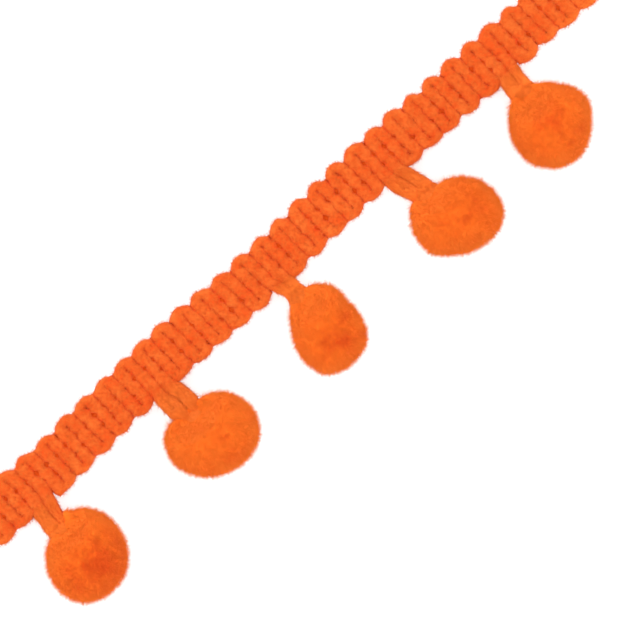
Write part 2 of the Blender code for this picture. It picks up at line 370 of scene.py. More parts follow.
def turn_edges(slit, side, t):
    """A turn's outer and inner edge at this share of the way round it, and its lift, 1 at the crest."""
    swing = min(max((t - TURN_LEAD) / (1.0 - 2.0 * TURN_LEAD), 0.0), 1.0)
    along = -math.cos(math.pi * swing)
    lift = math.sin(math.pi * swing)
    up = min(min(t, 1.0 - t) / TURN_LEAD, 1.0)
    near_slit = slit - 1 if along < 0.0 else slit + 1
    shoulder = turn_shoulder(near_slit, side)
    outer_reach = TURN_START + (shoulder - TURN_START) * up
    inner_reach = TURN_START + (SLIT_END - TURN_INNER_START - TURN_START) * up
    outer_x, outer_y = edge_point(near_slit, side * outer_reach, -math.copysign(1.0, along))
    inner_x, inner_y = edge_point(slit, side * inner_reach, math.copysign(1.0, along))
    outer_x += math.copysign(NOTCH_SHARE * OVERLAP, -along) * up
    crest = CREST + crest_push[slit]
    crown = max(0.0, 1.0 - (along / (TURN_WIDTH + crest_push[slit])) ** 2) ** TURN_ROUNDNESS
    outer_y += side * crown * (crest - shoulder)
    inner_y += side * TURN_INNER_RISE * lift
    middle_x = slit_x(slit, side * SLIT_END)
    outer = (middle_x + abs(along) * (outer_x - middle_x), outer_y)
    inner = (middle_x + abs(along) * (inner_x - middle_x), inner_y)
    return outer, inner, lift


def turn_stations(slit):
    """Round one turn, from the bar on the slit's left to the bar on its right."""
    side = 1.0 if slit % 2 == 0 else -1.0
    stations = []
    for k in range(1, TURN_STATIONS):
        outer, inner, lift = turn_edges(slit, side, k / TURN_STATIONS)
        half_height = BAR_HALF_HEIGHT + (TURN_HALF_HEIGHT - BAR_HALF_HEIGHT) * lift
        left, right = (outer, inner) if side > 0 else (inner, outer)
        stations.append((*left, *right, BED_HEIGHT, half_height, lift, 1.0))
    return stations


hanger_of_bar = {slit - k: number for number, slit in enumerate(HANGER_SLITS) for k in (0, 1)}


def hanger_read(number, column, start, y):
    """A hanger's measure at a level: first as the bars have it, then by its table."""
    table = hangers[number]
    fork = centre_y(HANGER_SLITS_X[number]) + HANGER_FORK
    places = [-row["y"] for row in table]
    values = [row[column] for row in table]
    return through([-fork - HANGER_LEAD, -fork] + places, [start, start] + values, -y)


def hanger_edges(bar, y):
    """The west and east edge of one yarn of a pair, at a level."""
    number = hanger_of_bar[bar]
    slit = HANGER_SLITS[number]
    names = {slit - 1: "left", slit: "slit", slit + 1: "right"}
    reached = smoothstep((HANGER_FORK - y) / HANGER_EASE)
    points = []
    for edge, inward in ((bar, 1.0), (bar + 1, -1.0)):
        x = hanger_read(number, names[edge], slit_x(edge, HANGER_FORK), y)
        ending = 0.0
        if edge == slit:
            ending = HANGER_OVERLAP + HANGER_OVERLAP_FILLED * HANGER_SLITS_FILLED[number]
        overlap = OVERLAP + reached * (ending - OVERLAP)
        points.append((x - inward * overlap, y))
    return points


def hanger_stations(number, side):
    """One yarn of a pair, from the heading's lower edge down into the pompom."""
    bar = HANGER_SLITS[number] - (1 if side < 0 else 0)
    pompom = pompoms[number]
    top = centre_y(bar_x(bar + 0.5)) - HANGER_TOP + HANGER_LAP
    bottom = hangers[number][-1]["y"]
    fuzz_end, fuzz_fade = YARN_FUZZ_ENDS
    stations = []
    for k in range(HANGER_STATIONS + 1):
        t = k / HANGER_STATIONS
        y = top + t * (bottom - top)
        thin = 1.0 - LAP_THINNING * max(0.0, 1.0 - (top - y) / HANGER_LAP)
        west, east = narrowed(*hanger_edges(bar, y), thin)
        z = hanger_read(number, "z", BED_HEIGHT, y)
        half_height = BAR_HALF_HEIGHT * thin * (1.0 - HANGER_SLIMMING * smoothstep(2.0 * t))
        brushed = BRUSHED_COVER * smoothstep((pompom["brushed_y"] - y) / BRUSHED_LENGTH)
        covered = max(brushed, smoothstep((pompom["neck_y"] - fuzz_end - y) / fuzz_fade))
        stations.append(station(west, east, True, z, half_height, smoothstep(3.0 * t), covered))
    return stations


def neck_rise(pompom, y):
    """How far a pompom's upper side has risen from its yarns at a level."""
    into = max(pompom["neck_y"] - y, 0.0)
    return pompom["neck_rise"] * into ** 2 / (into + NECK_FILLET)


def neck_stations(number):
    """A pair's fibres brushed into one, from where its slit starts to fill, down into the pompom."""
    pompom = pompoms[number]
    top, bottom = pompom["brushed_y"], pompom["neck_y"] - NECK_DEPTH
    bar = HANGER_SLITS[number] - 1
    fuzz_end, fuzz_fade = BRUSHED_FUZZ_ENDS
    stations = []
    for k in range(NECK_STATIONS + 1):
        y = top + (bottom - top) * k / NECK_STATIONS
        west, east = hanger_edges(bar, y)[0], hanger_edges(bar + 1, y)[1]
        filled = smoothstep((top - y) / BRUSHED_LENGTH)
        into = max(pompom["neck_y"] - y, 0.0)
        west, east = narrowed(west, east, NECK_WIDTH + NECK_WIDENING * filled + NECK_FLARE * into)
        z = hanger_read(number, "z", BED_HEIGHT, y) + NECK_FOLLOW * neck_rise(pompom, y)
        half_height = BAR_HALF_HEIGHT * (NECK_HEIGHT + NECK_THICKENING * filled)
        bare = 1.0 - filled * (1.0 - smoothstep((into - fuzz_end) / fuzz_fade))
        stations.append(station(west, east, True, z, half_height, filled, bare))
    return stations


def yarn_runs():
    """The heading's stations, run by run: from a cut end or a pompom to the next."""
    runs = []
    cut_end = CREST - END_TRIM
    hanger_end = -HANGER_TOP - HANGER_LAP
    for number in range(len(RUN_ENDS) - 1):
        first, last = RUN_ENDS[number], RUN_ENDS[number + 1] - 1
        stations = []
        for bar in range(first, last + 1):
            start = TURN_START if bar % 2 == 0 else -TURN_START
            end = -start
            if bar == first:
                start = cut_end if number == 0 else hanger_end
            if bar == last:
                end = cut_end if number == len(HANGER_SLITS) else hanger_end
            stations += bar_stations(bar, start, end)
            if bar < last:
                stations += turn_stations(bar + 1)
        runs.append(stations)
    return runs


SAME_PLACE = 1e-8  # in metres; of two stations nearer than this one is kept


def evenly(stations, step):
    """The same route with a station at every step of its length, in metres from here on."""
    table = np.array(stations)
    table[:, :6] *= MM
    middles = np.hstack([(table[:, 0:2] + table[:, 2:4]) / 2.0, table[:, 4:5]])
    gaps = np.linalg.norm(np.diff(middles, axis=0), axis=1)
    kept = np.concatenate([[True], gaps > SAME_PLACE])
    length = np.concatenate([[0.0], np.cumsum(gaps[kept[1:]])])
    count = max(2, int(round(length[-1] / (step * MM))))
    wanted = np.linspace(0.0, length[-1], count + 1)
    return np.stack([np.interp(wanted, length, column) for column in table[kept].T], axis=1), wanted


# --------------------------------------
# Shapes

TUBE_WELD = 1e-7  # in metres, as Blender takes it
SOLID_WELD = 1e-6


def rolled(bm, section_count, ring_count, place):
    """A grid rolled into a tube by place(section, number), which gives a point. Returns its vertices,
    each with its section and number."""
    grid = bmesh.ops.create_grid(bm, x_segments=section_count - 1, y_segments=ring_count, size=1.0)
    uv_layer = bm.loops.layers.uv.verify()
    placed = []
    for vert in grid["verts"]:
        section = round((vert.co.x + 1.0) / 2.0 * (section_count - 1))
        number = round((vert.co.y + 1.0) / 2.0 * ring_count)
        for loop in vert.link_loops:
            loop[uv_layer].uv = (section / (section_count - 1), number / ring_count)
        placed.append((vert, section, number))
    for vert, section, number in placed:
        vert.co = place(section, number % ring_count)
    return placed


def close_tubes(bm):
    bmesh.ops.remove_doubles(bm, verts=bm.verts, dist=TUBE_WELD)
    rims = [edge for edge in bm.edges if edge.is_boundary]
    bmesh.ops.holes_fill(bm, edges=rims, sides=0)
    bmesh.ops.recalc_face_normals(bm, faces=bm.faces)


def lump(point, size, depth):
    """Soft unevenness: noise with lumps of this size in millimetres."""
    return depth * noise.noise(point / (size * MM))


def directions(points):
    """The way a route runs at each of its points."""
    last = len(points) - 1
    return [(points[min(k + 1, last)] - points[max(k - 1, 0)]).normalized() for k in range(last + 1)]


def pile_layers(bm):
    """What a surface's pile grows by: how much of it, which way it leans, and its tone."""
    numbers, ways = bm.verts.layers.float, bm.verts.layers.float_vector
    kinds = ((numbers, "pile"), (ways, "lean"), (numbers, "tone"))
    return [kind.get(name) or kind.new(name) for kind, name in kinds]


# Painted shade: the sides of yarn that lie in the slits between bars are made deeper in colour, as the
# crease there is in shade.
SLIT_SHADE = 0.42  # how much deeper in colour yarn is between two bars
SLIT_SHADE_LUMPS = (0.5, 0.7)
YARN_TONE_LUMPS = (1.6, 0.13)
TONE_SHIFT_LENGTH = 2.0  # in which a yarn's own tone takes over from the heading's
FUZZ_RISE = (0.45, 0.5)  # where fuzz starts on a yarn's rise, and in how much more it is whole
UNDER_FUZZ = 0.40
SIDE_FUZZ = 0.9
SIDE_NARROWNESS = 1.6  # the more, the narrower its deep sides without fuzz


def add_yarn(bm, stations, length_start=0.0, tone_shift=0.0, ply_depth=PLY_DEPTH):
    """One stretch of thick yarn along its stations, flattened where it lies on the surface."""
    table, lengths = evenly(stations, YARN_STEP)
    lefts = [Vector((row[0], row[1], row[4])) for row in table]
    rights = [Vector((row[2], row[3], row[4])) for row in table]
    middles = [(left + right) / 2.0 for left, right in zip(lefts, rights)]
    runs = directions(middles)
    layers = pile_layers(bm)

    def place(section, number):
        angle = math.tau * number / YARN_RING
        across = math.copysign(abs(math.cos(angle)) ** YARN_BOXINESS, math.cos(angle))
        height = math.copysign(abs(math.sin(angle)) ** YARN_BOXINESS, math.sin(angle))
        side = (lefts[section] - rights[section]) / 2.0
        half_height = table[section][5]
        point = middles[section] + side * across
        point.z += height * half_height
        twist = 2.0 * angle + 2.0 * math.tau * lengths[section] / MM / PLY_PITCH
        swell = 1.0 + ply_depth * math.cos(twist)
        swell += sum(lump(point, size, depth) for size, depth in YARN_LUMPS)
        point = middles[section] + side * across * (1.0 - SWELL_SIDEWAYS + SWELL_SIDEWAYS * swell)
        point.z = max(middles[section].z + height * half_height * swell, 0.0)
        return point

    placed = rolled(bm, len(middles), YARN_RING, place)
    uv_layer = bm.loops.layers.uv.verify()
    for vert, section, number in placed:
        dress_yarn(vert, layers, runs[section], table[section], lengths[section] / MM, number, tone_shift)
        for loop in vert.link_loops:
            loop[uv_layer].uv = ((length_start + lengths[section]) / MM, number / YARN_RING)


def dress_yarn(vert, layers, run, row, length, number, tone_shift):
    """The fuzz and the tone of a yarn's surface, by its place round the yarn, with painted shade on its
    sides in the slits.
    """
    exposed, lean, tone = layers
    shown, coat = row[6:]
    rise = math.sin(math.tau * number / YARN_RING)
    upper = smoothstep((rise - FUZZ_RISE[0]) / FUZZ_RISE[1])
    under = UNDER_FUZZ * smoothstep(-SIDE_NARROWNESS * rise)
    vert[exposed] = max(upper, under, shown * SIDE_FUZZ) * coat
    vert[lean] = run
    # painted shade on the sides that lie in a slit
    painted_slit_shade = (1.0 - smoothstep(SIDE_NARROWNESS * abs(rise))) * (1.0 - shown)
    painted_slit_shade *= 1.0 + lump(vert.co, *SLIT_SHADE_LUMPS)
    shift = tone_shift * smoothstep(length / TONE_SHIFT_LENGTH)
    vert[tone] = 0.5 + shift + lump(vert.co, *YARN_TONE_LUMPS) - SLIT_SHADE * painted_slit_shade


def add_thread(bm, points):
    sides = []
    for run in directions(points):
        side = run.cross(PLAIN_UP).normalized()
        sides.append((side, side.cross(run)))

    def place(section, number):
        angle = math.tau * number / CHAIN_RING
        side, up = sides[section]
        return points[section] + (side * math.cos(angle) + up * math.sin(angle)) * (CHAIN_THREAD * MM)

    rolled(bm, len(points), CHAIN_RING, place)


def as_object(name, data):
    made = bpy.data.objects.new(name, data)
    bpy.context.scene.collection.objects.link(made)
    return made


def as_mesh(name, bm):
    mesh = bpy.data.meshes.new(name)
    bm.to_mesh(mesh)
    bm.free()
    return mesh


def final_mesh(made):
    """An object's mesh with its modifiers in it. The object goes."""
    bpy.context.view_layer.update()
    evaluated = made.evaluated_get(bpy.context.evaluated_depsgraph_get())
    mesh = bpy.data.meshes.new_from_object(evaluated)
    bpy.data.objects.remove(made)
    return mesh


def mesh_piece(name, bm, material, smooth=True):
    mesh = as_mesh(name, bm)
    mesh.materials.append(material)
    if smooth:
        mesh.shade_smooth()
    return as_object(name, mesh)


# --------------------------------------
# Node trees


def set_inputs(tree, node, inputs):
    """Links a node's inputs, or sets them."""
    for socket, value in inputs.items():
        if isinstance(value, bpy.types.NodeSocket):
            tree.links.new(value, node.inputs[socket])
        else:
            node.inputs[socket].default_value = value


def add_node(tree, kind, inputs=None, **settings):
    made = tree.nodes.new(kind)
    for setting, value in settings.items():
        setattr(made, setting, value)
    set_inputs(tree, made, inputs or {})
    return made


def math_node(tree, operation, first, second):
    return add_node(tree, "ShaderNodeMath", {0: first, 1: second}, operation=operation).outputs[0]


def vector_node(tree, operation, first, second):
    second_socket = "Scale" if operation == "SCALE" else 1
    inputs = {0: first, second_socket: second}
    return add_node(tree, "ShaderNodeVectorMath", inputs, operation=operation).outputs[0]


def noise_node(tree, place, scale, detail, roughness):
    inputs = {"Vector": place, "Scale": scale, "Detail": detail, "Roughness": roughness}
    return add_node(tree, "ShaderNodeTexNoise", inputs).outputs["Fac"]


def own_place(tree):
    return add_node(tree, "ShaderNodeTexCoord").outputs["Object"]


def own_tone(tree):
    return add_node(tree, "ShaderNodeAttribute", attribute_name="tone").outputs["Fac"]


def bump(tree, shader, height, strength, depth):
    inputs = {"Height": height, "Strength": strength, "Distance": depth * MM}
    bumped = add_node(tree, "ShaderNodeBump", inputs)
    set_inputs(tree, shader, {"Normal": bumped.outputs["Normal"]})


YARN_SPECULAR = 0.12
SHEEN_ROUGHNESS = 0.6
SHEEN_ORANGE = (1.0, 0.45, 0.2, 1.0)
# Partly painted shade: the chains and the middle band show only deep in the slits.
CHAIN_ORANGE = (0.56, 0.052, 0.001, 1.0)
# Each kind of yarn: its deep, middle and light colour. The deep one also serves for painted shade in
# slits and partings.
HEADING_COLOURS = ((0.80, 0.058, 0.003, 1.0), (0.72, 0.096, 0.0105, 1.0), (0.84, 0.180, 0.028, 1.0))
HANGER_COLOURS = ((0.82, 0.070, 0.005, 1.0), (0.85, 0.158, 0.0175, 1.0), (0.86, 0.190, 0.025, 1.0))
POMPOM_COLOURS = ((0.80, 0.080, 0.007, 1.0), (1.0, 0.170, 0.0135, 1.0), (1.0, 0.215, 0.021, 1.0))


def new_material(name, roughness, sheen):
    material = bpy.data.materials.new(name)
    material.use_nodes = True
    tree = material.node_tree
    shader = tree.nodes["Principled BSDF"]
    inputs = {"Roughness": roughness, "Specular IOR Level": YARN_SPECULAR, "Sheen Weight": sheen,
              "Sheen Roughness": SHEEN_ROUGHNESS, "Sheen Tint": SHEEN_ORANGE}
    set_inputs(tree, shader, inputs)
    return material, tree, shader


def colour_ramp(tree, factor, positions, colours):
    ramp = add_node(tree, "ShaderNodeValToRGB", {"Fac": factor})
    stops = ramp.color_ramp.elements
    while len(stops) < len(positions):
        stops.new(0.5)
    for stop, position, colour in zip(stops, positions, colours):
        stop.position = position
        stop.color = colour
    return ramp.outputs["Color"]


YARN_STREAKS = (1.4, 26.0, 1.0)  # how often streaks come along the yarn and round it
HANGER_COLOUR_LEVELS = (-2.3, -3.6)  # between which it takes over from the heading's


def yarn_material():
    """Brushed yarn, streaked along its run and mottled, in the hangers' own colour further down."""
    material, tree, shader = new_material("heading yarn", 0.92, 0.35)
    run = add_node(tree, "ShaderNodeUVMap", uv_map="UVMap")
    stretched = add_node(tree, "ShaderNodeMapping", {"Vector": run.outputs["UV"], "Scale": YARN_STREAKS})
    streaks = noise_node(tree, stretched.outputs["Vector"], 1.0, 4.0, 0.6)
    place = own_place(tree)
    mottle = noise_node(tree, place, 900.0, 5.0, 0.65)
    both = math_node(tree, "ADD", streaks, mottle)
    # the tone brings painted shade into the slits
    third = math_node(tree, "MULTIPLY", math_node(tree, "ADD", both, own_tone(tree)), 0.333)
    colour = colour_ramp(tree, third, (0.38, 0.48, 0.62), HEADING_COLOURS)
    heights = add_node(tree, "ShaderNodeSeparateXYZ", {0: place})
    start, end = HANGER_COLOUR_LEVELS
    brushed = add_node(
        tree, "ShaderNodeMapRange",
        {"Value": heights.outputs["Y"], "From Min": start * MM, "From Max": end * MM},
        interpolation_type="SMOOTHSTEP",
    )
    mixed = add_node(
        tree, "ShaderNodeMix", {0: brushed.outputs[0], 6: colour, 7: HANGER_COLOURS[1]}, data_type="RGBA"
    )
    set_inputs(tree, shader, {"Base Color": mixed.outputs[2]})
    bump(tree, shader, both, 0.5, 0.06)
    return material


def chain_material():
    """The fine holding chains, in a deep colour that is partly their own and partly painted shade, as
    they show deep between the bars.
    """
    material, tree, shader = new_material("holding chain", 0.95, 0.0)
    mottle = noise_node(tree, own_place(tree), 2500.0, 3.0, 0.6)
    colour = colour_ramp(tree, mottle, (0.35, 0.75), (CHAIN_ORANGE, HEADING_COLOURS[1]))
    set_inputs(tree, shader, {"Base Color": colour})
    return material


def core_material():
    """What shows between a pompom's fibres, as deep or light in colour as the pile is there, painted
    shade and painted light included.
    """
    material, tree, shader = new_material("pompom core", 0.95, 0.2)
    mottle = noise_node(tree, own_place(tree), 1400.0, 4.0, 0.6)
    half = math_node(tree, "MULTIPLY", math_node(tree, "ADD", mottle, own_tone(tree)), 0.5)
    colour = colour_ramp(tree, half, (0.28, 0.47), POMPOM_COLOURS)
    set_inputs(tree, shader, {"Base Color": colour})
    bump(tree, shader, mottle, 0.6, 0.08)
    return material


def fibre_material(name, colours, deep_from=0.12):
    """Fine fibres: across the map is a fibre's tone, and up it is the way from root to tip, with a little
    painted shade at the root.
    """
    material, tree, shader = new_material(name, 0.85, 0.5)
    place = add_node(tree, "ShaderNodeUVMap", uv_map=FIBRE_MAP)
    split = add_node(tree, "ShaderNodeSeparateXYZ", {0: place.outputs["UV"]})
    tone = colour_ramp(tree, split.outputs["X"], (deep_from, 0.45, 0.85), colours)
    # painted shade: a fibre is a little darker at its root, deep in the pile
    depth = add_node(
        tree, "ShaderNodeMapRange",
        {"Value": split.outputs["Y"], "From Min": 0.0, "From Max": 0.6, "To Min": 0.98, "To Max": 1.0},
    )
    set_inputs(tree, shader, {"Base Color": vector_node(tree, "SCALE", tone, depth.outputs[0])})
    return material


# --------------------------------------
# Pile: fibres grown from a surface by Geometry Nodes and kept as one mesh

FIBRE_MAP = "OFBake"
SOFTENING = 0.92  # how much fibres are shaded like the surface under them
LIFT = 1.5  # and how much they are turned up to the light
LIFT_FADE = (-0.25, 0.35)  # none where the surface's normal rises by the first, all by the second
PRESSED = 0.06  # in which fibres under the trim lie flat
FIBRE_SIDES = 3
FIBRE_TAPER = 0.96
SIDE_TONE = 0.03  # how much a fibre's two sides differ


def fibre_shape(name, sections, bend):
    """A curved fibre of unit length and width, standing on its root."""
    bm = bmesh.new()

    def place(section, number):
        t = section / (sections - 1)
        angle = math.tau * number / FIBRE_SIDES
        radius = 0.5 * (1.0 - FIBRE_TAPER * t)
        return Vector((bend * t * t + radius * math.cos(angle), radius * math.sin(angle), t))

    rolled(bm, sections, FIBRE_SIDES, place)
    close_tubes(bm)
    return bpy.data.objects.new(name, as_mesh(name, bm))


def spike_shape(name):
    bm = bmesh.new()
    bmesh.ops.create_cone(bm, cap_ends=True, segments=FIBRE_SIDES, radius1=0.5, radius2=0.0, depth=1.0)
    bmesh.ops.translate(bm, verts=bm.verts, vec=(0.0, 0.0, 0.5))
    return bpy.data.objects.new(name, as_mesh(name, bm))


def by_chance(tree, pile, order, low, high):
    """A number or a vector for each fibre, between low and high."""
    vector = isinstance(low, tuple)
    first = 0 if vector else 2
    made = add_node(
        tree, "FunctionNodeRandomValue",
        {first: low, first + 1: high, 8: pile["seed"] + order},
        data_type="FLOAT_VECTOR" if vector else "FLOAT",
    )
    return made.outputs[0 if vector else 1]


def noted(tree, geometry, name, value, kind, domain):
    """A geometry with an attribute added."""
    inputs = {"Geometry": geometry, "Name": name, "Value": value}
    return add_node(
        tree, "GeometryNodeStoreNamedAttribute", inputs, data_type=kind, domain=domain
    ).outputs[0]


def fibre_ways(tree, normal, pile):
    """Where fibres point: off the surface, along its lean, in tufts, and by chance."""
    lean = add_node(tree, "GeometryNodeInputNamedAttribute", {"Name": "lean"}, data_type="FLOAT_VECTOR")
    place = add_node(tree, "GeometryNodeInputPosition")
    drift = add_node(
        tree, "ShaderNodeTexNoise",
        {"Vector": place.outputs[0], "Scale": 1.0 / (pile["tuft"] * MM), "Detail": 1.0},
    )
    centred = vector_node(tree, "SUBTRACT", drift.outputs["Color"], (0.5, 0.5, 0.5))
    spread = pile["jitter"]
    parts = (
        vector_node(tree, "SCALE", lean.outputs[0], by_chance(tree, pile, 1, *pile["lean"])),
        vector_node(tree, "SCALE", centred, pile["comb"]),
        by_chance(tree, pile, 2, (-spread,) * 3, (spread,) * 3),
    )
    towards = vector_node(tree, "SCALE", normal, pile["stand"])
    for part in parts:
        towards = vector_node(tree, "ADD", towards, part)
    return towards


def fibre_turns(tree, towards, pile):
    """Stands each fibre up along its way and spins it round itself."""
    turned = add_node(tree, "FunctionNodeAlignRotationToVector", {"Vector": towards}, axis="Z")
    spin = by_chance(tree, pile, 3, (0.0, 0.0, 0.0), (0.0, 0.0, math.tau))
    spun = add_node(
        tree, "FunctionNodeRotateRotation", {0: turned.outputs[0], 1: spin}, rotation_space="LOCAL"
    )
    return spun.outputs[0]


def pile_tree(fibre, pile):
    """Fibres on a surface, by its pile and lean attributes."""
    tree = bpy.data.node_groups.new("pile", "GeometryNodeTree")
    for way in ("INPUT", "OUTPUT"):
        tree.interface.new_socket("Geometry", in_out=way, socket_type="NodeSocketGeometry")
    surface = add_node(tree, "NodeGroupInput")
    share = add_node(tree, "GeometryNodeInputNamedAttribute", {"Name": "pile"}, data_type="FLOAT")
    per_area = math_node(tree, "MULTIPLY", share.outputs[0], pile["per_mm2"] / MM ** 2)
    points = add_node(
        tree, "GeometryNodeDistributePointsOnFaces",
        {"Mesh": surface.outputs[0], "Density": per_area, "Seed": pile["seed"]},
        distribute_method="RANDOM",
    )
    normal = points.outputs["Normal"]
    roots = noted(tree, points.outputs[0], "facing", normal, "FLOAT_VECTOR", "POINT")
    low, high = pile["length"]
    length = by_chance(tree, pile, 4, low * MM, high * MM)
    width = pile["width"] * MM
    size = add_node(tree, "ShaderNodeCombineXYZ", {0: width, 1: width, 2: length})
    shape = add_node(tree, "GeometryNodeObjectInfo", {"Object": fibre})
    grown = add_node(
        tree, "GeometryNodeInstanceOnPoints",
        {"Points": roots, "Instance": shape.outputs["Geometry"],
         "Rotation": fibre_turns(tree, fibre_ways(tree, normal, pile), pile), "Scale": size.outputs[0]},
    )
    luck = by_chance(tree, pile, 5, -0.5, 0.5)
    marked = noted(tree, grown.outputs[0], "luck", luck, "FLOAT", "INSTANCE")
    whole = add_node(tree, "GeometryNodeRealizeInstances", {"Geometry": marked})
    add_node(tree, "NodeGroupOutput", {0: whole.outputs[0]})
    return tree


def vertex_numbers(mesh, name):
    """What an attribute says at each vertex."""
    values = np.zeros(len(mesh.vertices), np.float32)
    mesh.attributes[name].data.foreach_get("value", values)
    return values


def vertex_vectors(data, name):
    """The places or the normals of vertices, or an attribute's vectors."""
    values = np.zeros(len(data) * 3, np.float32)
    data.foreach_get(name, values)
    return values.reshape(-1, 3)


def unit(ways):
    return ways / np.maximum(np.linalg.norm(ways, axis=1, keepdims=True), 1e-6)


def grow_pile(name, surface, fibre, material, pile, number=0):
    """The fibres of one surface as a piece of their own."""
    pile = {**pile, "seed": pile["seed"] + number}
    carrier = as_object("carrier", surface.data)
    grower = carrier.modifiers.new("pile", "NODES")
    grower.node_group = pile_tree(fibre, pile)
    mesh = final_mesh(carrier)
    mesh.name = name
    luck = vertex_numbers(mesh, "luck")
    press_fibres(mesh, luck)
    lay_out_fibres(mesh, fibre.data, pile, luck)
    normals = soft_normals(mesh)
    for spent in ("pile", "lean", "luck", "tone", "facing"):
        mesh.attributes.remove(mesh.attributes[spent])
    mesh.shade_smooth()
    mesh.normals_split_custom_set_from_vertices(normals.tolist())
    mesh.update()
    mesh.materials.clear()
    mesh.materials.append(material)
    return as_object(name, mesh)


def press_fibres(mesh, luck):
    """Keeps fibres above the surface that the trim lies on."""
    spots = vertex_vectors(mesh.vertices, "co")
    spots[:, 2] = np.maximum(spots[:, 2], PRESSED * MM * (0.5 + luck))
    mesh.vertices.foreach_set("co", spots.ravel())


def lay_out_fibres(mesh, fibre, pile, luck):
    """The fibres' map: tone across, root to tip up."""
    count = len(mesh.vertices) // len(fibre.vertices)
    standing = np.tile(vertex_vectors(fibre.vertices, "co"), (count, 1))
    tone = vertex_numbers(mesh, "tone") + pile["luck"] * luck + SIDE_TONE * standing[:, 0]
    corners = np.zeros(len(mesh.loops), np.int32)
    mesh.loops.foreach_get("vertex_index", corners)
    layer = mesh.uv_layers.new(name=FIBRE_MAP)
    uv = np.stack([np.clip(tone, 0.02, 0.98), np.clip(standing[:, 2], 0.01, 0.99)], axis=1)[corners]
    layer.uv.foreach_set("vector", uv.astype(np.float32).ravel())
    layer.active_render = True
    for extra in [each.name for each in mesh.uv_layers if each.name != FIBRE_MAP]:
        mesh.uv_layers.remove(mesh.uv_layers[extra])


def soft_normals(mesh):
    """Normals that follow the surface under the fibres, lifted where it faces up."""
    facing = vertex_vectors(mesh.attributes["facing"].data, "vector")
    none, full = LIFT_FADE
    upper = np.clip((facing[:, 2:] - none) / (full - none), 0.0, 1.0)
    facing = unit(facing + np.array([0.0, 0.0, LIFT], np.float32) * upper)
    own = vertex_vectors(mesh.vertices, "normal")
    return unit(facing * SOFTENING + own * (1.0 - SOFTENING))


# --------------------------------------
# Pieces

SPIKE = spike_shape("fibre spike")
CURL = fibre_shape("fibre curl", 5, 0.45)

# Each kind of pile: fibres to the square millimetre, their length and width, how far they stand off the
# surface and lean along it, the size of tufts, how far fibres turn in tufts and by chance, how much
# their tones differ, and a seed.
PILE_COLUMNS = ("per_mm2", "length", "width", "stand", "lean", "tuft", "comb", "jitter", "luck", "seed")
HEADING_PILE, HANGER_PILE, POMPOM_PILE, HALO_PILE, STRAY_PILE = rows(PILE_COLUMNS, (
    (39.0, (0.30, 0.62), 0.040, 0.70, (-1.1, 1.1), 0.8, 1.6, 1.1, 0.75, 21),
    (62.0, (0.35, 0.65), 0.045, 0.45, (0.6, 1.6), 0.9, 0.8, 0.6, 0.25, 31),
    (46.0, (0.45, 0.90), 0.060, 0.45, (0.5, 1.1), 0.9, 0.8, 0.8, 0.12, 41),
    (15.0, (0.50, 1.00), 0.026, 1.00, (0.0, 0.5), 0.9, 1.0, 0.7, 0.14, 61),
    (0.9, (0.80, 1.50), 0.030, 1.00, (0.0, 0.6), 1.5, 1.0, 0.9, 0.15, 51),
))

# Where on the streaks' pattern each run of yarn starts, in metres, so that no two look alike.
HEADING_PATTERN_STEP = 0.1
HANGER_PATTERN = 0.5
NECK_PATTERN = 0.6
HANGER_PATTERN_STEP = 0.01


def make_heading(material, fuzz):
    bm = bmesh.new()
    length = 0.0
    for stations in yarn_runs():
        add_yarn(bm, stations, length)
        length += HEADING_PATTERN_STEP
    close_tubes(bm)
    yarn = mesh_piece("heading_yarn", bm, material)
    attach(yarn, BODY)
    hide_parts("heading")
    pile = grow_pile("heading_fuzz", yarn, SPIKE, fuzz, HEADING_PILE)
    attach(pile, BODY)


def chain_points(row, face, way):
    """One thread of a chain, by its row, its face and the way it sways first."""
    points = []
    for k in range(2, 5 * BAR_COUNT - 1):
        slit = k / 5.0
        x = bar_x(slit) + SLIT_SLANT * row
        y = centre_y(x) + row + way * CHAIN_SWAY * math.sin(math.pi * slit)
        rise = CHAIN_HEIGHT + CHAIN_ARCH * abs(math.sin(math.pi * slit)) ** 0.7
        points.append(Vector((x, y, BED_HEIGHT + face * rise)) * MM)
    return points


def make_chains(material):
    """Two threads on each row and face that cross at every slit."""
    bm = bmesh.new()
    for row in CHAIN_ROWS:
        for face in (1.0, -1.0):
            for way in (1.0, -1.0):
                add_thread(bm, chain_points(row, face, way))
    close_tubes(bm)
    chains = mesh_piece("heading_chains", bm, material)
    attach(chains, BODY)


def make_heading_middle(material):
    """The chains' inner threads, a band inside the bars that shows deep in the slits."""
    stations = []
    for k in range(4 * BAR_COUNT - 1):
        x = bar_x((k + 1) / 4.0)
        y = centre_y(x)
        edges = (x, y + MIDDLE_REACH, x, y - MIDDLE_REACH)
        stations.append((*edges, BED_HEIGHT, MIDDLE_HALF_HEIGHT, 0.0, 1.0))
    bm = bmesh.new()
    add_yarn(bm, stations)
    close_tubes(bm)
    middle = mesh_piece("heading_middle", bm, material)
    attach(middle, BODY)


def make_hanger(number, material, fuzz):
    bm = bmesh.new()
    tones = HANGER_TONES_AND_SHADE[number]
    shift = HANGER_PATTERN_STEP * number
    for side, tone_shift in zip((-1, 1), tones):
        add_yarn(bm, hanger_stations(number, side), HANGER_PATTERN + shift, tone_shift, HANGER_PLY_DEPTH)
    add_yarn(bm, neck_stations(number), NECK_PATTERN + shift, tones[0], HANGER_PLY_DEPTH)
    close_tubes(bm)
    yarns = mesh_piece(f"hanger_yarns_{number + 1}", bm, material)
    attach(yarns, BODY)
    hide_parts(f"hanger_{number + 1}")
    pile = grow_pile(f"hanger_fuzz_{number + 1}", yarns, SPIKE, fuzz, HANGER_PILE, number)
    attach(pile, BODY)


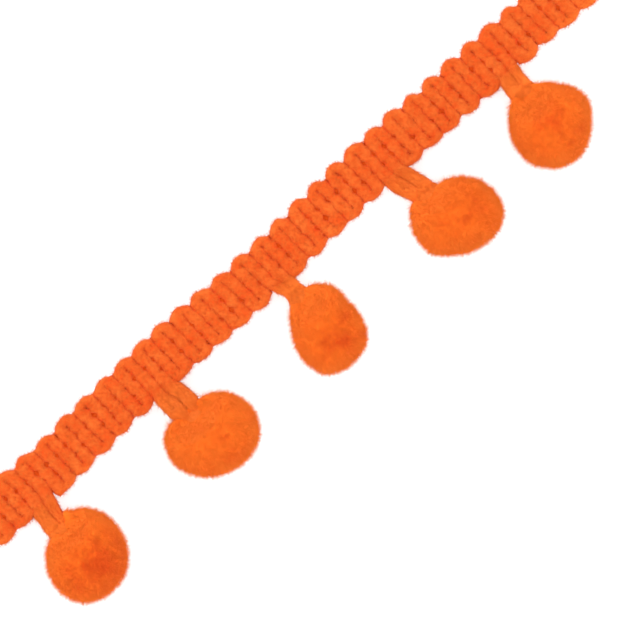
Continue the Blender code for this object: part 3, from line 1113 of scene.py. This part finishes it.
def lowered_neck(number, spot):
    """A point's height once a pompom's upper side comes down to the yarns at its neck."""
    pompom = pompoms[number]
    y = spot.y / MM
    aside = (spot.x / MM - hanger_read(number, "slit", 0.0, y)) / pompom["neck_width"]
    top = hanger_read(number, "z", BED_HEIGHT, y) + NECK_COVER
    over = spot.z / MM - (top + neck_rise(pompom, y) + NECK_SIDES * aside ** 2)
    excess = NECK_SOFTNESS * math.log1p(math.exp(min(over / NECK_SOFTNESS, NECK_SOFT_LIMIT)))
    return max(spot.z - excess * MM * smoothstep(spot.z / MM / NECK_FOOT), 0.0)


def bulged(spot, middle, number):
    """A point of a pompom pushed in or out as its bulges say."""
    aside = spot - middle
    direction = math.degrees(math.atan2(aside.y, aside.x))
    out = 0.0
    for bulge in bulges[number]:
        turned = (direction - bulge["direction"] + 180.0) % 360.0 - 180.0
        out += bulge["out"] * math.exp(-(turned / bulge["width"]) ** 2)
    reach = math.hypot(aside.x, aside.y)
    share = smoothstep(reach / MM / BULGE_REACH)
    return spot + Vector((aside.x, aside.y, 0.0)) * (out * share * MM / max(reach, 0.1 * MM))


def parted(spot, middle, number):
    """How much a point of a pompom is shaded where its cut ends part and in its darker patches; it dents
    the core and is painted into its colour.
    """
    shade = 0.0
    for row in partings[number]:
        across = (spot.x - middle.x) / MM - row["x"]
        along = (spot.y - middle.y) / MM - row["y"]
        shade += row["shade"] * math.exp(-(across / row["wide"]) ** 2 - (along / row["tall"]) ** 2)
    none, full = PARTING_HEIGHTS
    return shade * smoothstep((spot.z / MM - none) / (full - none))


def rounded_solid(source):
    """A bmesh of a CAD solid, merged and smoothed."""
    bm = bmesh.new()
    bm.from_mesh(source.data)
    bmesh.ops.remove_doubles(bm, verts=bm.verts, dist=SOLID_WELD)
    smooth = as_object("core", as_mesh("core", bm))
    rounding = smooth.modifiers.new("rounding", "SUBSURF")
    rounding.levels = 2
    rounding.render_levels = 2
    bm = bmesh.new()
    bm.from_mesh(final_mesh(smooth))
    return bm


def pile_share(pompom, pair, pair_height, spot):
    """How much pile grows at a point: none where the neck lies on its pair of yarns."""
    start, length = PILE_STARTS
    below = (pompom["neck_y"] - spot.y / MM - start) / length
    beside = (abs(spot.x / MM - pair["slit"]) - PAIR_HALF_WIDTH) / PAIR_EDGE
    under = (pair_height - PAIR_HALF_WIDTH - spot.z / MM) / PAIR_EDGE
    return smoothstep(max(below, beside, under))


def pompom_core(number, material):
    """The pompom's solid, smoothed, drawn in and made uneven."""
    pompom = pompoms[number]
    bm = rounded_solid(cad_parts[f"pompom_{number + 1}"])
    middle = Vector((pompom["x"], pompom["y"], 0.0)) * MM
    pair = hangers[number][2]
    neck = Vector((pair["slit"], pair["y"] + NECK_AHEAD, pair["z"])) * MM
    pair_height = hanger_read(number, "z", BED_HEIGHT, pompom["neck_y"])
    crown = partings[number][0]
    crown = middle + Vector((crown["x"], crown["y"], CROWN_HEIGHT)) * MM
    offset = Vector((number * BALLS_APART, 0.0, 0.0)) * MM
    for vert in bm.verts:
        vert.co = bulged(vert.co, middle, number)
    for vert in bm.verts:
        vert.co.z = lowered_neck(number, vert.co)
    bm.normal_update()
    exposed, lean, tone = pile_layers(bm)
    for vert in bm.verts:
        spot = vert.co.copy()
        lumps = sum(lump(spot + offset, size, depth) for size, depth in CORE_LUMPS)
        shade = parted(spot, middle, number) * (1.0 + lump(spot, *PARTING_LUMPS))
        from_neck, to_crown = spot - neck, crown - spot
        near = math.exp(-(from_neck.length / (NECK_NEAR * MM)) ** 2)
        mottle = lump(spot + offset, *CORE_MOTTLE)
        mottle *= 1.0 - min(PARTING_EVENNESS * shade, EVENNESS_LIMIT)
        # painted light near the neck
        # painted shade where the pile parts
        vert[tone] = CORE_TONE + NECK_PAINTED_LIGHT * near + mottle - PARTING_PAINTED_SHADE * shade
        flow = from_neck.normalized() + CROWN_PULL * to_crown.normalized()
        swirl = 1.0 - math.exp(-(to_crown.length / (CROWN_SIZE * MM)) ** 2)
        vert[lean] = flow * (PILE_LEAN + NECK_LEAN * near) * swirl
        vert[exposed] = pile_share(pompom, pair, pair_height, spot)
        vert.co += vert.normal * (lumps - PARTING_DEPTH * shade - PILE_INSET) * MM
        vert.co.z = max(vert.co.z, 0.0)
    core = mesh_piece(f"pompom_core_{number + 1}", bm, material)
    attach(core, BODY)
    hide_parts(f"pompom_{number + 1}")
    return core


def make_pompom(number, core_look, pile_look):
    core = pompom_core(number, core_look)
    coats = (("pile", SPIKE, POMPOM_PILE), ("halo", SPIKE, HALO_PILE), ("strays", CURL, STRAY_PILE))
    for name, fibre, pile in coats:
        grown = grow_pile(f"pompom_{name}_{number + 1}", core, fibre, pile_look, pile, number)
        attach(grown, BODY)


# --------------------------------------
# Floor, light and camera

VIEW_ANGLE = 42.9  # degrees, from the camera's right-hand side to the trim's length
VIEW_MIDDLE = Vector((-0.389, -8.556, 2.5)) * MM
VIEW_WIDTH = 71.1 * MM
LENS = 400.0
SENSOR = 36.0
FLOOR_HALF_WIDTH = 1.5
FLOOR_LEVEL = -0.0001
FLOOR_GREY = (0.35, 0.35, 0.35, 1.0)
FLOOR_GLOW = 0.76
WHITE = (1.0, 1.0, 1.0, 1.0)
SKY_STRENGTH = 1.51
KEY_PLACE = Vector((-0.28, 0.40, 0.55))
KEY_WIDTH = 0.5
KEY_POWER = 0.25


def make_camera():
    data = bpy.data.cameras.new("camera")
    data.lens = LENS
    data.sensor_width = SENSOR
    data.clip_start = 0.01
    camera = as_object("camera", data)
    camera.location = VIEW_MIDDLE + Vector((0.0, 0.0, LENS / SENSOR * VIEW_WIDTH))
    camera.rotation_euler = (0.0, 0.0, -math.radians(VIEW_ANGLE))
    bpy.context.scene.camera = camera


def make_floor():
    bm = bmesh.new()
    bmesh.ops.create_grid(bm, x_segments=1, y_segments=1, size=FLOOR_HALF_WIDTH)
    bmesh.ops.translate(bm, verts=bm.verts, vec=(0.0, 0.0, FLOOR_LEVEL))
    material, tree, shader = new_material("pale floor", 0.95, 0.0)
    glow = {"Emission Color": WHITE, "Emission Strength": FLOOR_GLOW}
    set_inputs(tree, shader, {"Base Color": FLOOR_GREY, **glow})
    mesh_piece("floor", bm, material, smooth=False)


def make_light():
    world = bpy.data.worlds.new("studio")
    world.use_nodes = True
    sky = world.node_tree.nodes["Background"]
    set_inputs(world.node_tree, sky, {"Color": WHITE, "Strength": SKY_STRENGTH})
    bpy.context.scene.world = world
    lamp = bpy.data.lights.new("key", "AREA")
    lamp.shape = "DISK"
    lamp.size = KEY_WIDTH
    lamp.energy = KEY_POWER
    key = as_object("key", lamp)
    key.location = KEY_PLACE
    key.rotation_euler = (VIEW_MIDDLE - KEY_PLACE).to_track_quat("-Z", "Y").to_euler()
    bpy.context.scene.view_settings.view_transform = "Standard"


make_camera()
make_floor()
make_light()

yarn_look = yarn_material()
chain_look = chain_material()
core_look = core_material()
hanger_fuzz_look = fibre_material("hanger fuzz", HANGER_COLOURS)
heading_fuzz_look = fibre_material("heading fuzz", HEADING_COLOURS)
pompom_pile_look = fibre_material("pompom pile", POMPOM_COLOURS, 0.0)

make_heading(yarn_look, heading_fuzz_look)
make_heading_middle(chain_look)
make_chains(chain_look)
for hanger_number in range(len(HANGERS)):
    make_hanger(hanger_number, yarn_look, hanger_fuzz_look)
for pompom_number in range(len(POMPOMS)):
    make_pompom(pompom_number, core_look, pompom_pile_look)
for template in (SPIKE, CURL):
    bpy.data.objects.remove(template)
